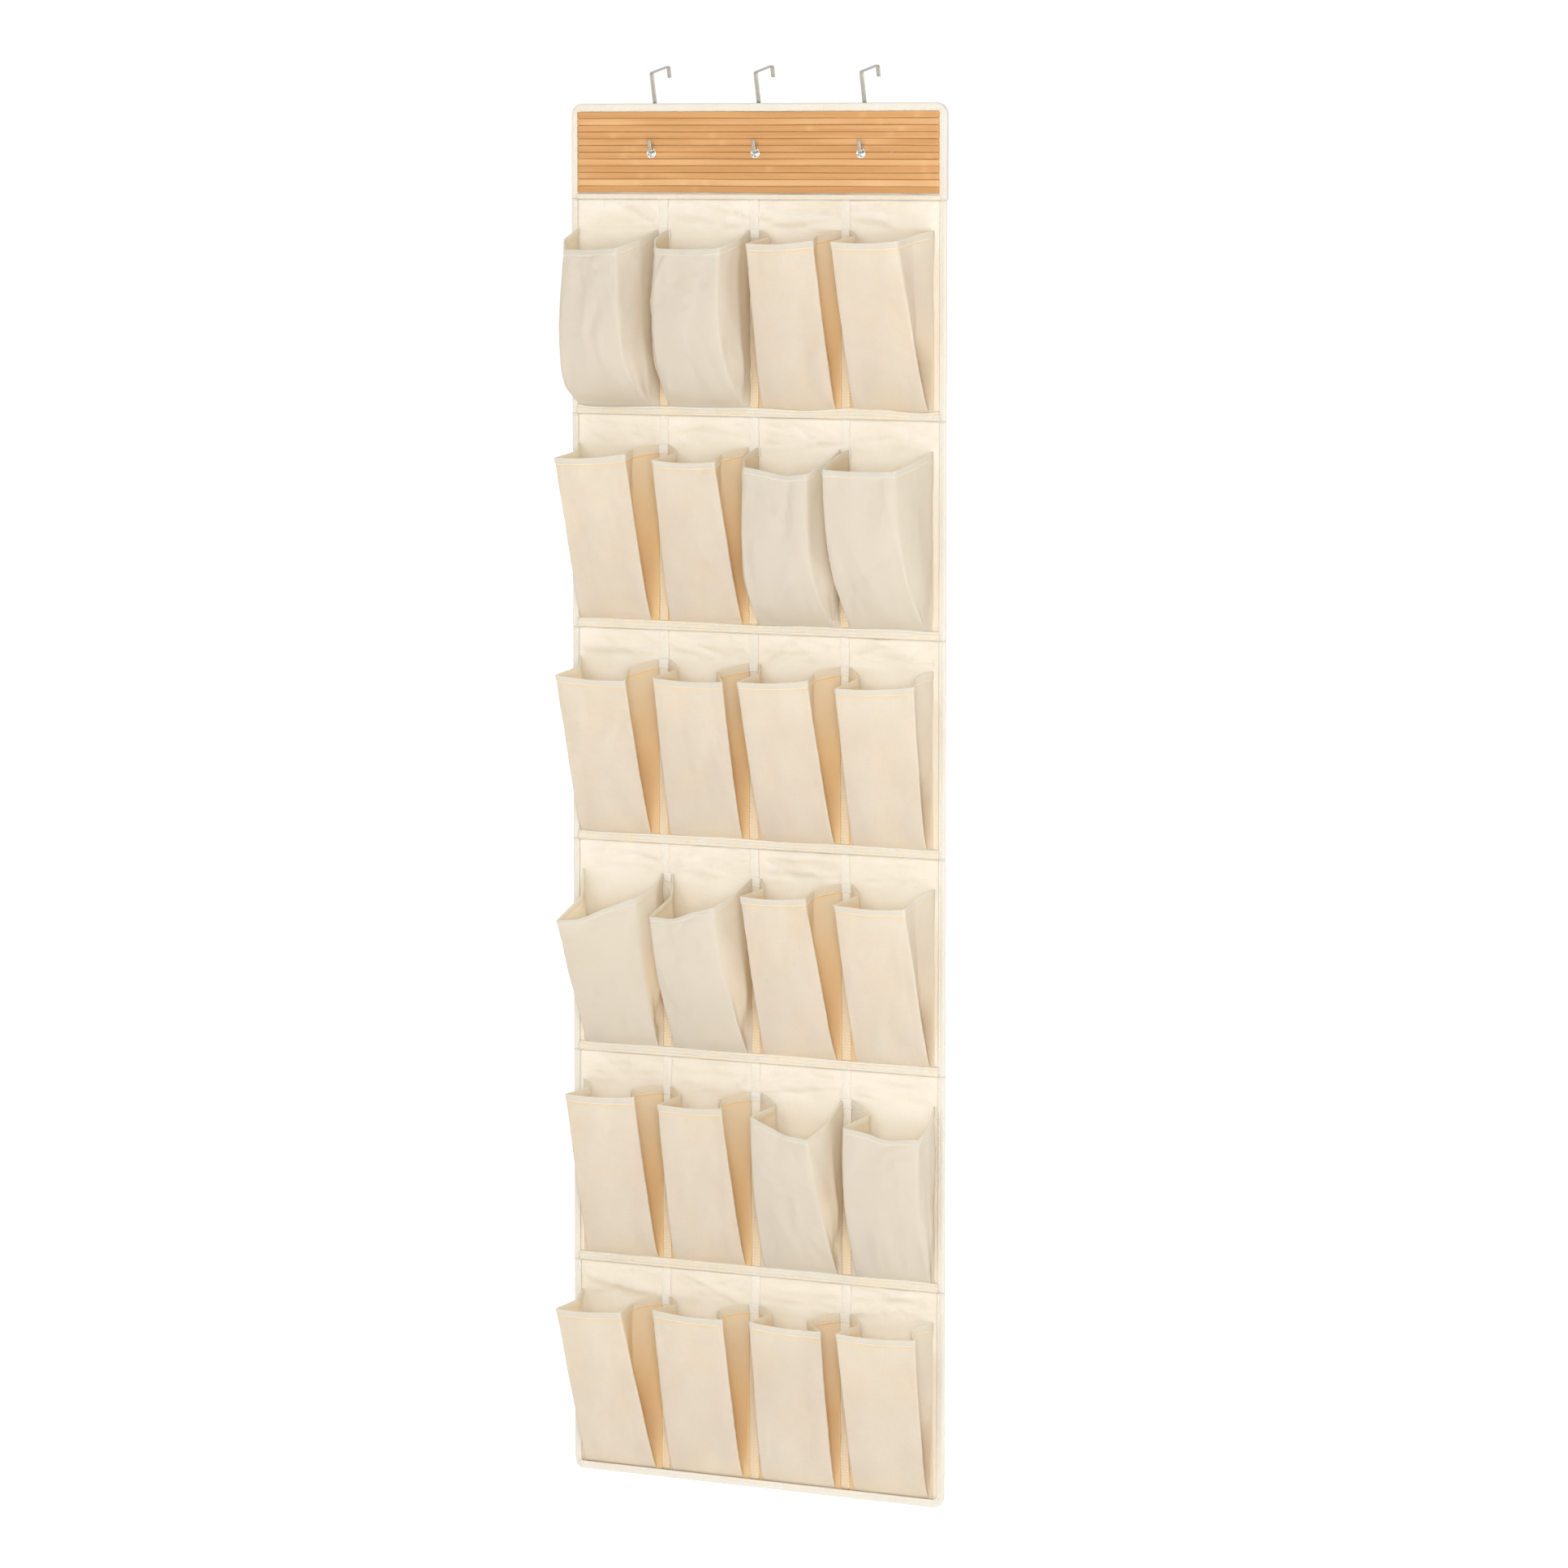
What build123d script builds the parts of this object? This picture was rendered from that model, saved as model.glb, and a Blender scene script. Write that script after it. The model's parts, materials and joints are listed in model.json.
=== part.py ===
"""Over-door pocket organizer: a canvas sheet with a slatted header, three steel hooks
and six folding rows of four pleated pockets.

Millimetres. +Z is up and the pockets face -Y. The model is laid out from the middle of
the header's top edge, with Y = 0 on the front of the cloth, and then moved so that the
origin is the point where the middle hook sits on the top edge of a door.
"""
import math
import os

from build123d import *

# ---- the sheet ----
PANEL_W = 482.6
PANEL_H = 1549.4
HEADER_H = 106.0
ROWS = 6
COLUMNS = 4
ROW_H = (PANEL_H - HEADER_H) / ROWS
SHEET_T = 1.4
CORNER_R = 12.0

# ---- bindings and tapes ----
BINDING_W = 8.0
BINDING_T = 0.7
TAPE_H = 10.0
TAPE_T = 3.0
UPRIGHT_W = 10.5
UPRIGHT_T = 1.0
COLUMN_PITCH = 116.0

# ---- pockets ----
POCKET_FRONT_W = 94.0
POCKET_BACK_W = COLUMN_PITCH - UPRIGHT_W
POCKET_DEPTH = 56.0
POCKET_FOOT_DEPTH = 3.0
POCKET_CLOTH_T = 1.2
MOUTH_BELOW_ROW_TOP = 33.6
MOUTH_DROOP = 8.5

# ---- header ----
COVER_T = 0.8
BOARD_T = 2.5
CORE_T = COVER_T + BOARD_T + COVER_T
SLAT_COUNT = 12
SLAT_PITCH = 7.5
SLAT_GAP = 0.5
SLAT_T = 1.7
SLAT_ROUND = 0.6
SLAT_L = 466.0
BACKING_T = 0.5
SLATS_BELOW_TOP = 9.2
PIPING_H = 5.6
PIPING_T = 2.4

# ---- eyelets ----
EYELET_X = (-135.0, 0.0, 135.0)
EYELET_BELOW_TOP = 55.0
EYELET_HOLE_R = 4.0
EYELET_BARREL_R = 4.5
EYELET_FLANGE_R = 6.0
EYELET_FLANGE_T = 0.8
HOLE_CLEARANCE = 0.05

# ---- hooks ----
HOOK_W = 5.0
HOOK_T = 1.5
HOOK_BEND_R = 2.4
HOOK_TILT = 12.0
DOOR_GAP = 35.0
HOOK_RISE = 34.0
HOOK_TAIL = 13.0
HOOK_LIP = 15.0
HOOK_SEAT_FRONT = 5.6
HOOK_SEAT_BACK = 15.8
SEAT_ABOVE_EYELET = 1.2

half_w = PANEL_W / 2
binding_edge = half_w - BINDING_W
core_half_w = half_w - BINDING_T
front_of_slats = -(BACKING_T + SLAT_T)
pivot_y = (front_of_slats + CORE_T) / 2
pivot_z = -EYELET_BELOW_TOP + SEAT_ABOVE_EYELET

tilt_cos = math.cos(math.radians(HOOK_TILT))
tilt_sin = math.sin(math.radians(HOOK_TILT))
bridge_run = DOOR_GAP + HOOK_T
shank_l = (HOOK_RISE - pivot_z - HOOK_SEAT_BACK * tilt_sin) / tilt_cos


def on_hook(along, up):
    """Y and Z of a point given along and up a hook, counted from its pivot."""
    y = pivot_y + along * tilt_cos - up * tilt_sin
    z = pivot_z + along * tilt_sin + up * tilt_cos
    return y, z


door_y, door_z = on_hook(HOOK_SEAT_BACK + bridge_run / 2, shank_l - HOOK_T / 2)


def save(node, *solids):
    """Write the solids of one node, moved so that the door's edge is the origin."""
    to_origin = Pos(0, -door_y, -door_z)
    moved = [to_origin * solid for shape in solids for solid in shape.solids()]
    export_step(moved[0] if len(moved) == 1 else Compound(moved), f"parts/{node}.step")


def block(x0, x1, y0, y1, z0, z1):
    """A box between two corners."""
    centre = ((x0 + x1) / 2, (y0 + y1) / 2, (z0 + z1) / 2)
    return Pos(*centre) * Box(x1 - x0, y1 - y0, z1 - z0)


def upright_plate(y0, y1, z_top, z_bottom, x_half, radius, round_top):
    """A plate in the XZ plane with its two top or two bottom corners rounded."""
    plate = block(-x_half, x_half, y0, y1, z_bottom, z_top)
    z_round = z_top if round_top else z_bottom
    corners = [e for e in plate.edges().filter_by(Axis.Y) if abs(e.center().Z - z_round) < 0.01]
    return fillet(corners, radius)


def eyelet_holes(y0, y1):
    """The three round holes that the eyelets go through, as cutters."""
    length = y1 - y0 + 2
    for x in EYELET_X:
        place = Pos(x, (y0 + y1) / 2, -EYELET_BELOW_TOP) * Rot(90, 0, 0)
        yield place * Cylinder(EYELET_BARREL_R + HOLE_CLEARANCE, length)


def pierced(solid, y0, y1):
    """The solid with the three eyelet holes cut through it."""
    for hole in eyelet_holes(y0, y1):
        solid -= hole
    return solid


def channel(z_top, z_bottom, core_t, radius, round_top, closed_end):
    """Folded edge binding round three sides of a plate, as a U section.

    closed_end is the width of the front and back flanges on the short side.
    """
    outer = upright_plate(-BINDING_T, core_t + BINDING_T, z_top, z_bottom, half_w, radius, round_top)
    inner_top = z_top - (BINDING_T if round_top else 0)
    inner_bottom = z_bottom + (0 if round_top else BINDING_T)
    core = upright_plate(0, core_t, inner_top, inner_bottom, core_half_w, radius - BINDING_T, round_top)
    window_top = z_top - closed_end if round_top else z_top + 1
    window_bottom = z_bottom - 1 if round_top else z_bottom + closed_end
    window = block(-binding_edge, binding_edge, -9, 9, window_bottom, window_top)
    return outer - core - window


# ---------------------------------------------------------------- header
def header():
    """Board between two covers, edge binding, slats on a backing cloth, and the piping."""
    layers = (
        ("header_cover_front", 0.0, COVER_T),
        ("header_board", COVER_T, COVER_T + BOARD_T),
        ("header_cover_back", COVER_T + BOARD_T, CORE_T),
    )
    for node, y0, y1 in layers:
        plate = upright_plate(
            y0, y1, -BINDING_T, -HEADER_H, core_half_w, CORNER_R - BINDING_T, True
        )
        save(node, pierced(plate, y0, y1))
    save("header_binding", channel(0, -HEADER_H, CORE_T, CORNER_R, True, BINDING_W))

    slats_top = -SLATS_BELOW_TOP
    slats_bottom = slats_top - SLAT_COUNT * SLAT_PITCH
    backing = block(-SLAT_L / 2, SLAT_L / 2, -BACKING_T, 0, slats_bottom, slats_top)
    save("slat_backing", pierced(backing, -BACKING_T, 0))
    slats = []
    for index in range(SLAT_COUNT):
        z_top = slats_top - index * SLAT_PITCH
        slat = block(
            -SLAT_L / 2, SLAT_L / 2, front_of_slats, -BACKING_T, z_top - SLAT_PITCH + SLAT_GAP, z_top
        )
        front_edges = slat.faces().sort_by(Axis.Y)[0].edges().filter_by(Axis.X)
        slat = fillet(front_edges, SLAT_ROUND)
        slats.append(pierced(slat, front_of_slats, -BACKING_T))
    save("slats", *slats)
    save(
        "header_piping",
        block(-binding_edge, binding_edge, -PIPING_T, 0, -HEADER_H, -HEADER_H + PIPING_H),
    )


def eyelets():
    """Three rolled eyelets, and the three washers that they are set against at the back."""
    rings = []
    washers = []
    for x in EYELET_X:
        place = Pos(x, 0, -EYELET_BELOW_TOP) * Rot(90, 0, 0)
        flange = Cylinder(EYELET_FLANGE_R, EYELET_FLANGE_T)
        flange = fillet(flange.edges().sort_by(Axis.Z)[-1], EYELET_FLANGE_T * 0.7)
        barrel_l = CORE_T - front_of_slats
        barrel = Pos(0, 0, -(barrel_l + EYELET_FLANGE_T) / 2) * Cylinder(EYELET_BARREL_R, barrel_l)
        ring = flange + barrel
        ring -= Cylinder(EYELET_HOLE_R, 4 * barrel_l)
        rings.append(place * Pos(0, 0, -front_of_slats + EYELET_FLANGE_T / 2) * ring)
        washer = Cylinder(EYELET_FLANGE_R, BINDING_T) - Cylinder(EYELET_HOLE_R, 2)
        washers.append(place * Pos(0, 0, -(CORE_T + BINDING_T / 2)) * washer)
    save("eyelets", *rings)
    save("eyelet_washers", *washers)


def hook(x):
    """One bent strip: front lip, seat through the eyelet, shank, bridge over the door, tail."""
    tail_u = HOOK_SEAT_BACK + bridge_run
    route = FilletPolyline(
        (-HOOK_SEAT_FRONT, HOOK_LIP),
        (-HOOK_SEAT_FRONT, 0),
        (HOOK_SEAT_BACK, 0),
        (HOOK_SEAT_BACK, shank_l),
        (tail_u, shank_l),
        (tail_u, shank_l - HOOK_TAIL),
        radius=HOOK_BEND_R,
    )
    strip = extrude(trace(route, line_width=HOOK_T), amount=HOOK_W / 2, both=True)
    side_on = Plane(origin=(x, pivot_y, pivot_z), x_dir=(0, tilt_cos, tilt_sin), z_dir=(1, 0, 0))
    return side_on.location * strip


# ---------------------------------------------------------------- rows
def pocket_section(share, inset, back_y):
    """Outline of a pocket across its width, from its foot (0) to its mouth (1)."""
    depth = POCKET_FOOT_DEPTH + share * (POCKET_DEPTH - POCKET_FOOT_DEPTH) - inset
    height = ROW_H - TAPE_H - MOUTH_BELOW_ROW_TOP
    z_back = share * height
    z_front = share * (height - MOUTH_DROOP)
    back = POCKET_BACK_W / 2 - inset
    front = POCKET_FRONT_W / 2 - inset
    corners = [
        (-back, back_y, z_back),
        (back, back_y, z_back),
        (front, -depth, z_front),
        (-front, -depth, z_front),
    ]
    return Face(Wire.make_polygon(corners))


def pocket(x, z_foot):
    """Front panel and two gussets, open at the mouth and against the sheet behind."""
    outside = loft([pocket_section(0, 0, 0), pocket_section(1, 0, 0)], ruled=True)
    past_ends = (-0.02, 1.02)
    inside = loft([pocket_section(s, POCKET_CLOTH_T, 2) for s in past_ends], ruled=True)
    shell = outside - inside
    front_half = POCKET_FRONT_W / 2 - POCKET_CLOTH_T
    middle = block(-front_half, front_half, -2 * POCKET_DEPTH, 5, -5, ROW_H)
    place = Pos(x, 0, z_foot)
    return place * (shell & middle), place * (shell - middle)


def row(index):
    """Sheet, tapes, bindings and four pockets of one row, counted from the top."""
    number = index + 1
    z_top = -HEADER_H - index * ROW_H
    z_bottom = z_top - ROW_H
    last = number == ROWS
    if last:
        sheet = upright_plate(
            0, SHEET_T, z_top, z_bottom + BINDING_T, core_half_w, CORNER_R - BINDING_T, False
        )
        binding = channel(z_top, z_bottom, SHEET_T, CORNER_R, False, 0)
    else:
        sheet = block(-core_half_w, core_half_w, 0, SHEET_T, z_bottom, z_top)
        outer = block(-half_w, half_w, -BINDING_T, SHEET_T + BINDING_T, z_bottom, z_top)
        core = block(-core_half_w, core_half_w, 0, SHEET_T, z_bottom, z_top)
        window = block(-binding_edge, binding_edge, -9, 9, z_bottom, z_top)
        binding = outer - core - window
    save(f"row{number}_sheet", sheet)
    save(f"row{number}_binding", binding)
    tape = block(-binding_edge, binding_edge, -TAPE_T, 0, z_bottom, z_bottom + TAPE_H)
    if last:
        tape += block(-binding_edge, binding_edge, -TAPE_T, SHEET_T + BINDING_T, z_bottom, z_bottom + BINDING_T)
        tape -= block(-half_w, half_w, 0, SHEET_T, z_bottom + BINDING_T, z_top)
    save(f"row{number}_tape", tape)

    uprights = []
    for step in range(1, COLUMNS):
        x = (step - COLUMNS / 2) * COLUMN_PITCH
        uprights.append(
            block(x - UPRIGHT_W / 2, x + UPRIGHT_W / 2, -UPRIGHT_T, 0, z_bottom + TAPE_H, z_top)
        )
    save(f"row{number}_uprights", *uprights)
    for column in range(COLUMNS):
        x = (column + 0.5 - COLUMNS / 2) * COLUMN_PITCH
        front, gussets = pocket(x, z_bottom + TAPE_H)
        save(f"row{number}_pocket{column + 1}", front, gussets)


os.makedirs("parts", exist_ok=True)
header()
eyelets()
for name, x in zip(("left", "middle", "right"), EYELET_X):
    save(f"hook_{name}", hook(x))
for index in range(ROWS):
    row(index)
print("door edge from the header's top:", round(door_y, 3), round(door_z, 3))
print("hook pivot:", round(pivot_y - door_y, 3), round(pivot_z - door_z, 3))
print("first fold:", round(-TAPE_T - door_y, 3), round(-HEADER_H - door_z, 3))
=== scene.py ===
"""Looks for the over-door pocket organizer.

Everything is laid out in millimetres from the middle of the header's top edge, with Y = 0
on the front of the cloth, as the CAD model is, and placed() turns that into the frame.
"""
import json
import math
import random

import bpy
import numpy as np
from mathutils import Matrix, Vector

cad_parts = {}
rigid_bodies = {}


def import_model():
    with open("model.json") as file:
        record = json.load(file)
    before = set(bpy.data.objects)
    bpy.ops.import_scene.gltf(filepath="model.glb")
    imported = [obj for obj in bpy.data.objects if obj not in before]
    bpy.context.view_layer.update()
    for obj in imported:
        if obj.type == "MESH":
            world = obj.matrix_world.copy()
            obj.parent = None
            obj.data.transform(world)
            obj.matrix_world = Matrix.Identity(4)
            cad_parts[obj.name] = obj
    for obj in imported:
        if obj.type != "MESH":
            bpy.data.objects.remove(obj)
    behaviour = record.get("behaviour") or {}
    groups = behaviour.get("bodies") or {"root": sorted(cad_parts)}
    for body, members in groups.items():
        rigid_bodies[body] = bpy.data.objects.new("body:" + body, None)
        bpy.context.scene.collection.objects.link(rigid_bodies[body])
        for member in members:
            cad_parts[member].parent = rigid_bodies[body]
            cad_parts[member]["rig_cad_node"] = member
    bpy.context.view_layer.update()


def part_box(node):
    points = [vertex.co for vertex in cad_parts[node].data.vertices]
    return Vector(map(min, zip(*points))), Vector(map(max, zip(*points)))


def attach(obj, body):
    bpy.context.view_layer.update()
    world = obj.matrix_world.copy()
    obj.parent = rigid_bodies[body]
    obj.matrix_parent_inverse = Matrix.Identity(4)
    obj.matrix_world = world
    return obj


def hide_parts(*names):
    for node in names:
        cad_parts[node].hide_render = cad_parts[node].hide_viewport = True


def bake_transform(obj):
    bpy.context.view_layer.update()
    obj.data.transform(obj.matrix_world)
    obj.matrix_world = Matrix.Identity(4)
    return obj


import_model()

MM = 0.001
ROWS = 6
COLUMNS = 4
HOOK_SIDES = ("left", "middle", "right")

# ---- layout, from the frame
header_lo, header_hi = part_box("header_binding")
ORIGIN = Vector((0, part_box("row1_sheet")[0].y, header_hi.z))


def box(node):
    """The low and high corner of a CAD node, in layout millimetres."""
    return [(Vector(corner) - ORIGIN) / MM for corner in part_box(node)]


def placed(points):
    """Layout millimetres to frame metres, for an array of points."""
    return np.asarray(points, float) * MM + np.array(ORIGIN)


HALF_W = header_hi.x / MM
HEADER_H = (header_hi.z - header_lo.z) / MM
CORE_T = box("header_cover_back")[1].y
SHEET_T = box("row1_sheet")[1].y
ROW_TOPS = [box(f"row{n}_sheet")[1].z for n in range(1, ROWS + 1)]
ROW_H = ROW_TOPS[0] - ROW_TOPS[1]
TAPE_H = box("row1_tape")[1].z - ROW_TOPS[1]
BINDING_W = HALF_W - box("row1_tape")[1].x
POCKET_LO, POCKET_HI = box("row1_pocket1")
POCKET_BACK_W = POCKET_HI.x - POCKET_LO.x
COLUMN_PITCH = box("row1_pocket2")[0].x - POCKET_LO.x
POCKET_H = POCKET_HI.z - POCKET_LO.z
UPRIGHT_W = COLUMN_PITCH - POCKET_BACK_W
SLATS_LO, SLATS_HI = box("slats")
HOOK_XS = [sum(corner.x for corner in box(f"hook_{side}")) / 2 for side in HOOK_SIDES]
EYELET_Z = sum(corner.z for corner in box("eyelets")) / 2

FRONT_W = 94.0  # of a pocket, between its two front folds
GUSSET_W = 70.0  # of each side's pleat, laid flat
HEM_H = 9.6
STITCH_BELOW_MOUTH = 8.3
CLOTH_T = 0.8
SHEET_INSET = 0.9  # of the sheet's raw edge inside its binding
COVER_INSET = 1.2  # of the header's canvas, likewise
CORNER_R = 13.0
HOLE_R = 4.6  # of the eyelet holes
FORWARD = np.array((0, -1.0, 0))


# ---- noise and folds
def smooth(t):
    t = np.clip(t, 0, 1)
    return t * t * (3 - 2 * t)


def bell(distance, width):
    """1 where distance is 0, falling away to 0 on both sides."""
    return np.exp(-((distance / width) ** 2))


def ripple(a, b, size, seed):
    """Soft, repeatable noise of about unit height over a plane, with features of that size."""
    draw = random.Random(seed)
    total = np.zeros(np.broadcast(a, b).shape)
    waves = 9
    for _ in range(waves):
        angle = draw.uniform(0, math.tau)
        k = math.tau / (size * draw.uniform(0.7, 2.0))
        phase = draw.uniform(0, math.tau)
        total = total + np.sin((a * math.cos(angle) + b * math.sin(angle)) * k + phase)
    return total / math.sqrt(waves / 2)


def crease(a, b, start, end, width):
    """1 along a straight fold between two points, fading to 0 across width and at its ends."""
    ax, ay = start
    dx, dy = end[0] - ax, end[1] - ay
    length = math.hypot(dx, dy)
    along = ((a - ax) * dx + (b - ay) * dy) / length**2
    across = ((a - ax) * dy - (b - ay) * dx) / length
    fade = smooth(along / 0.25) * smooth((1 - along) / 0.25)
    return np.exp(-np.abs(across / width) ** 1.4) * fade


def random_creases(a, b, seed, count, area, width, lean=0.5):
    """A few folds of either sign scattered over area = (a0, a1, b0, b1)."""
    draw = random.Random(seed)
    a0, a1, b0, b1 = area
    total = np.zeros(np.broadcast(a, b).shape)
    for _ in range(count):
        angle = draw.gauss(0, lean)
        length = draw.uniform(0.25, 0.8) * (a1 - a0)
        ca, cb = draw.uniform(a0, a1), draw.uniform(b0, b1)
        half_a, half_b = length / 2 * math.cos(angle), length / 2 * math.sin(angle)
        ends = (ca - half_a, cb - half_b), (ca + half_a, cb + half_b)
        fold = crease(a, b, *ends, width * draw.uniform(0.6, 1.5))
        total = total + fold * draw.choice((-1, 1)) * draw.uniform(0.5, 1.0)
    return total


# ---- meshes
def mesh_object(name, points, faces, material, uv=None, shades=None, flat=False):
    """A mesh piece from layout points. uv is in metres of cloth, shades is a value per point."""
    mesh = bpy.data.meshes.new(name)
    mesh.from_pydata(placed(points).tolist(), [], faces)
    mesh.update()
    mesh.validate()
    corners = np.empty(len(mesh.loops), dtype=np.int64)
    mesh.loops.foreach_get("vertex_index", corners)
    layer = mesh.uv_layers.new(name="cloth")
    if uv is None:
        uv = np.asarray(points, float)[:, [0, 2]] * MM
    layer.data.foreach_set("uv", np.asarray(uv, np.float32)[corners].ravel())
    if shades is not None:
        attribute = mesh.attributes.new("shade", "FLOAT", "POINT")
        attribute.data.foreach_set("value", np.asarray(shades, np.float32))
    mesh.polygons.foreach_set("use_smooth", [not flat] * len(mesh.polygons))
    mesh.materials.append(material)
    obj = bpy.data.objects.new(name, mesh)
    bpy.context.collection.objects.link(obj)
    return obj


def plane(half_width, low, high, columns, rows):
    """X and Z of an even grid of points."""
    return np.meshgrid(np.linspace(-half_width, half_width, columns), np.linspace(low, high, rows))


def grid_of(*coordinates):
    """A grid of points from an array or a number for each coordinate."""
    return np.stack(np.broadcast_arrays(*coordinates), axis=2)


def run_along(points):
    """How far along a line each of its points lies."""
    return np.concatenate([[0], np.cumsum(np.linalg.norm(np.diff(points, axis=0), axis=1))])


def grid_faces(rows, cols, first, flip):
    """Quads of a grid whose points are numbered row by row from first."""
    faces = []
    for r in range(rows - 1):
        for c in range(cols - 1):
            i = first + r * cols + c
            quad = (i, i + 1, i + cols + 1, i + cols)
            faces.append(quad[::-1] if flip else quad)
    return faces


def shell_parts(front, back):
    """Points and faces of a closed shell between two grids of the same shape."""
    rows, cols, _ = front.shape
    size = rows * cols
    points = np.concatenate([front.reshape(-1, 3), back.reshape(-1, 3)])
    faces = grid_faces(rows, cols, 0, False) + grid_faces(rows, cols, size, True)
    rim = list(range(cols))
    rim += [r * cols + cols - 1 for r in range(1, rows)]
    rim += [(rows - 1) * cols + c for c in range(cols - 2, -1, -1)]
    rim += [r * cols for r in range(rows - 2, 0, -1)]
    for a, b in zip(rim, rim[1:] + rim[:1]):
        faces.append((b, a, a + size, b + size))
    return points, faces


def tube_faces(rings, size, first=0, closed=False):
    """Quads along a tube of rings of size points each, joined end to end if it is closed."""
    faces = []
    for ring in range(rings if closed else rings - 1):
        here, there = first + ring * size, first + (ring + 1) % rings * size
        for j in range(size):
            after = (j + 1) % size
            faces.append((here + j, here + after, there + after, there + j))
    return faces


def normals_of(grid):
    n = np.cross(np.gradient(grid, axis=1), np.gradient(grid, axis=0))
    return n / np.maximum(np.linalg.norm(n, axis=2, keepdims=True), 1e-9)


def thick(middle, thickness):
    """Front and back grids of a cloth whose middle surface is given.

    The front faces -Y when the grid's columns run along +X and its rows along +Z.
    """
    half = np.broadcast_to(thickness, middle.shape[:2])[..., None] / 2
    n = normals_of(middle)
    return middle + n * half, middle - n * half


def round_corners(grid, half_width, edge_z, radius, up):
    """Draw a grid's two corners in to an arc: the top ones, or the bottom ones if up is -1."""
    side = np.sign(grid[..., 0])
    over_x = np.maximum(np.abs(grid[..., 0]) - (half_width - radius), 0)
    over_z = np.maximum(up * (grid[..., 2] - edge_z) + radius, 0)
    reach = np.hypot(over_x, over_z)
    outside = (over_x > 0) & (over_z > 0) & (reach > radius)
    pull = np.where(outside, radius / np.maximum(reach, 1e-6), 1.0)
    grid[..., 0] -= side * over_x * (1 - pull)
    grid[..., 2] -= up * over_z * (1 - pull)


def cloth(name, front, back, material, uv, shade, back_shade=None):
    """One closed piece of cloth between two grids. uv is in millimetres of cloth."""
    points, faces = shell_parts(front, back)
    uv = np.asarray(uv, float).reshape(-1, 2) * MM
    both = (shade, shade if back_shade is None else back_shade)
    shades = np.concatenate([np.broadcast_to(s, front.shape[:2]).ravel() for s in both])
    return mesh_object(name, points, faces, material, np.concatenate([uv, uv]), shades)


def strip(name, x, y, z, back_y, material, uv, shade):
    """A flat-backed piece of cloth, and its front grid of points (x, y, z)."""
    front = grid_of(x, y, z)
    return cloth(name, front, grid_of(x, back_y, z), material, uv, shade), front


def fixed(obj, body, slot, *nodes):
    """Ride a piece on one body, in place of the CAD nodes it shows."""
    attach(obj, body)
    if nodes:
        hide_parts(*nodes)


def blended(obj, row, slot, *nodes):
    """Keep a piece where it lies, in place of the CAD nodes it shows, with its transform baked into its
    mesh.
    """
    if nodes:
        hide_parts(*nodes)
    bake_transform(obj)


def bake_modifiers(obj):
    """Replace the object's mesh by what its modifiers make of it."""
    graph = bpy.context.evaluated_depsgraph_get()
    mesh = bpy.data.meshes.new_from_object(obj.evaluated_get(graph))
    obj.modifiers.clear()
    obj.data = mesh


def punch_eyelets(obj):
    """Cut the three eyelet holes through a piece of the header."""
    bpy.ops.object.select_all(action="DESELECT")
    for x in HOOK_XS:
        bpy.ops.mesh.primitive_cylinder_add(
            vertices=40,
            radius=HOLE_R * MM,
            depth=0.03,
            location=placed((x, 0, EYELET_Z)).tolist(),
            rotation=(math.pi / 2, 0, 0),
        )
        cutter = bpy.context.object
        modifier = obj.modifiers.new("hole", "BOOLEAN")
        modifier.object = cutter
        modifier.solver = "EXACT"
        bake_modifiers(obj)
        bpy.data.objects.remove(cutter)


def sampled(values, reach, at):
    """Interpolate an array of XYZ values, given at distances reach along a line."""
    return np.array([np.interp(at, reach, values[:, k]) for k in range(3)]).T


def stitches(name, lines):
    """Sewing thread: a row of short raised stitches along each (points, normals) line."""
    pitch, length, width, height, sunk = 3.4, 2.5, 0.85, 0.42, 0.12
    points, faces = [], []
    for path, normals in lines:
        normals = np.broadcast_to(normals, path.shape)
        reach = run_along(path)
        count = int((reach[-1] - pitch) // pitch)
        middles = (np.arange(count) + 0.5) * pitch + (reach[-1] - count * pitch) / 2
        starts, ends = (sampled(path, reach, middles + shift) for shift in (-length / 2, length / 2))
        for p, q, up in zip(starts, ends, sampled(normals, reach, middles)):
            axis = (q - p) / max(np.linalg.norm(q - p), 1e-6)
            side = np.cross(up, axis)
            side = side / max(np.linalg.norm(side), 1e-6) * width / 2
            rise, sink = up * height, up * sunk
            base = len(points)
            points += [p - sink, q - sink]
            for m in (p + axis * length * 0.24, q - axis * length * 0.24):
                points += [m + side - sink, m + side * 0.55 + rise, m - side * 0.55 + rise, m - side - sink]
            first, second = base + 2, base + 6
            for k in range(4):
                j = (k + 1) % 4
                faces.append((first + k, first + j, second + j, second + k))
                faces.append((base, first + j, first + k))
                faces.append((base + 1, second + k, second + j))
    return mesh_object(name, np.array(points), faces, THREAD)


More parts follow.
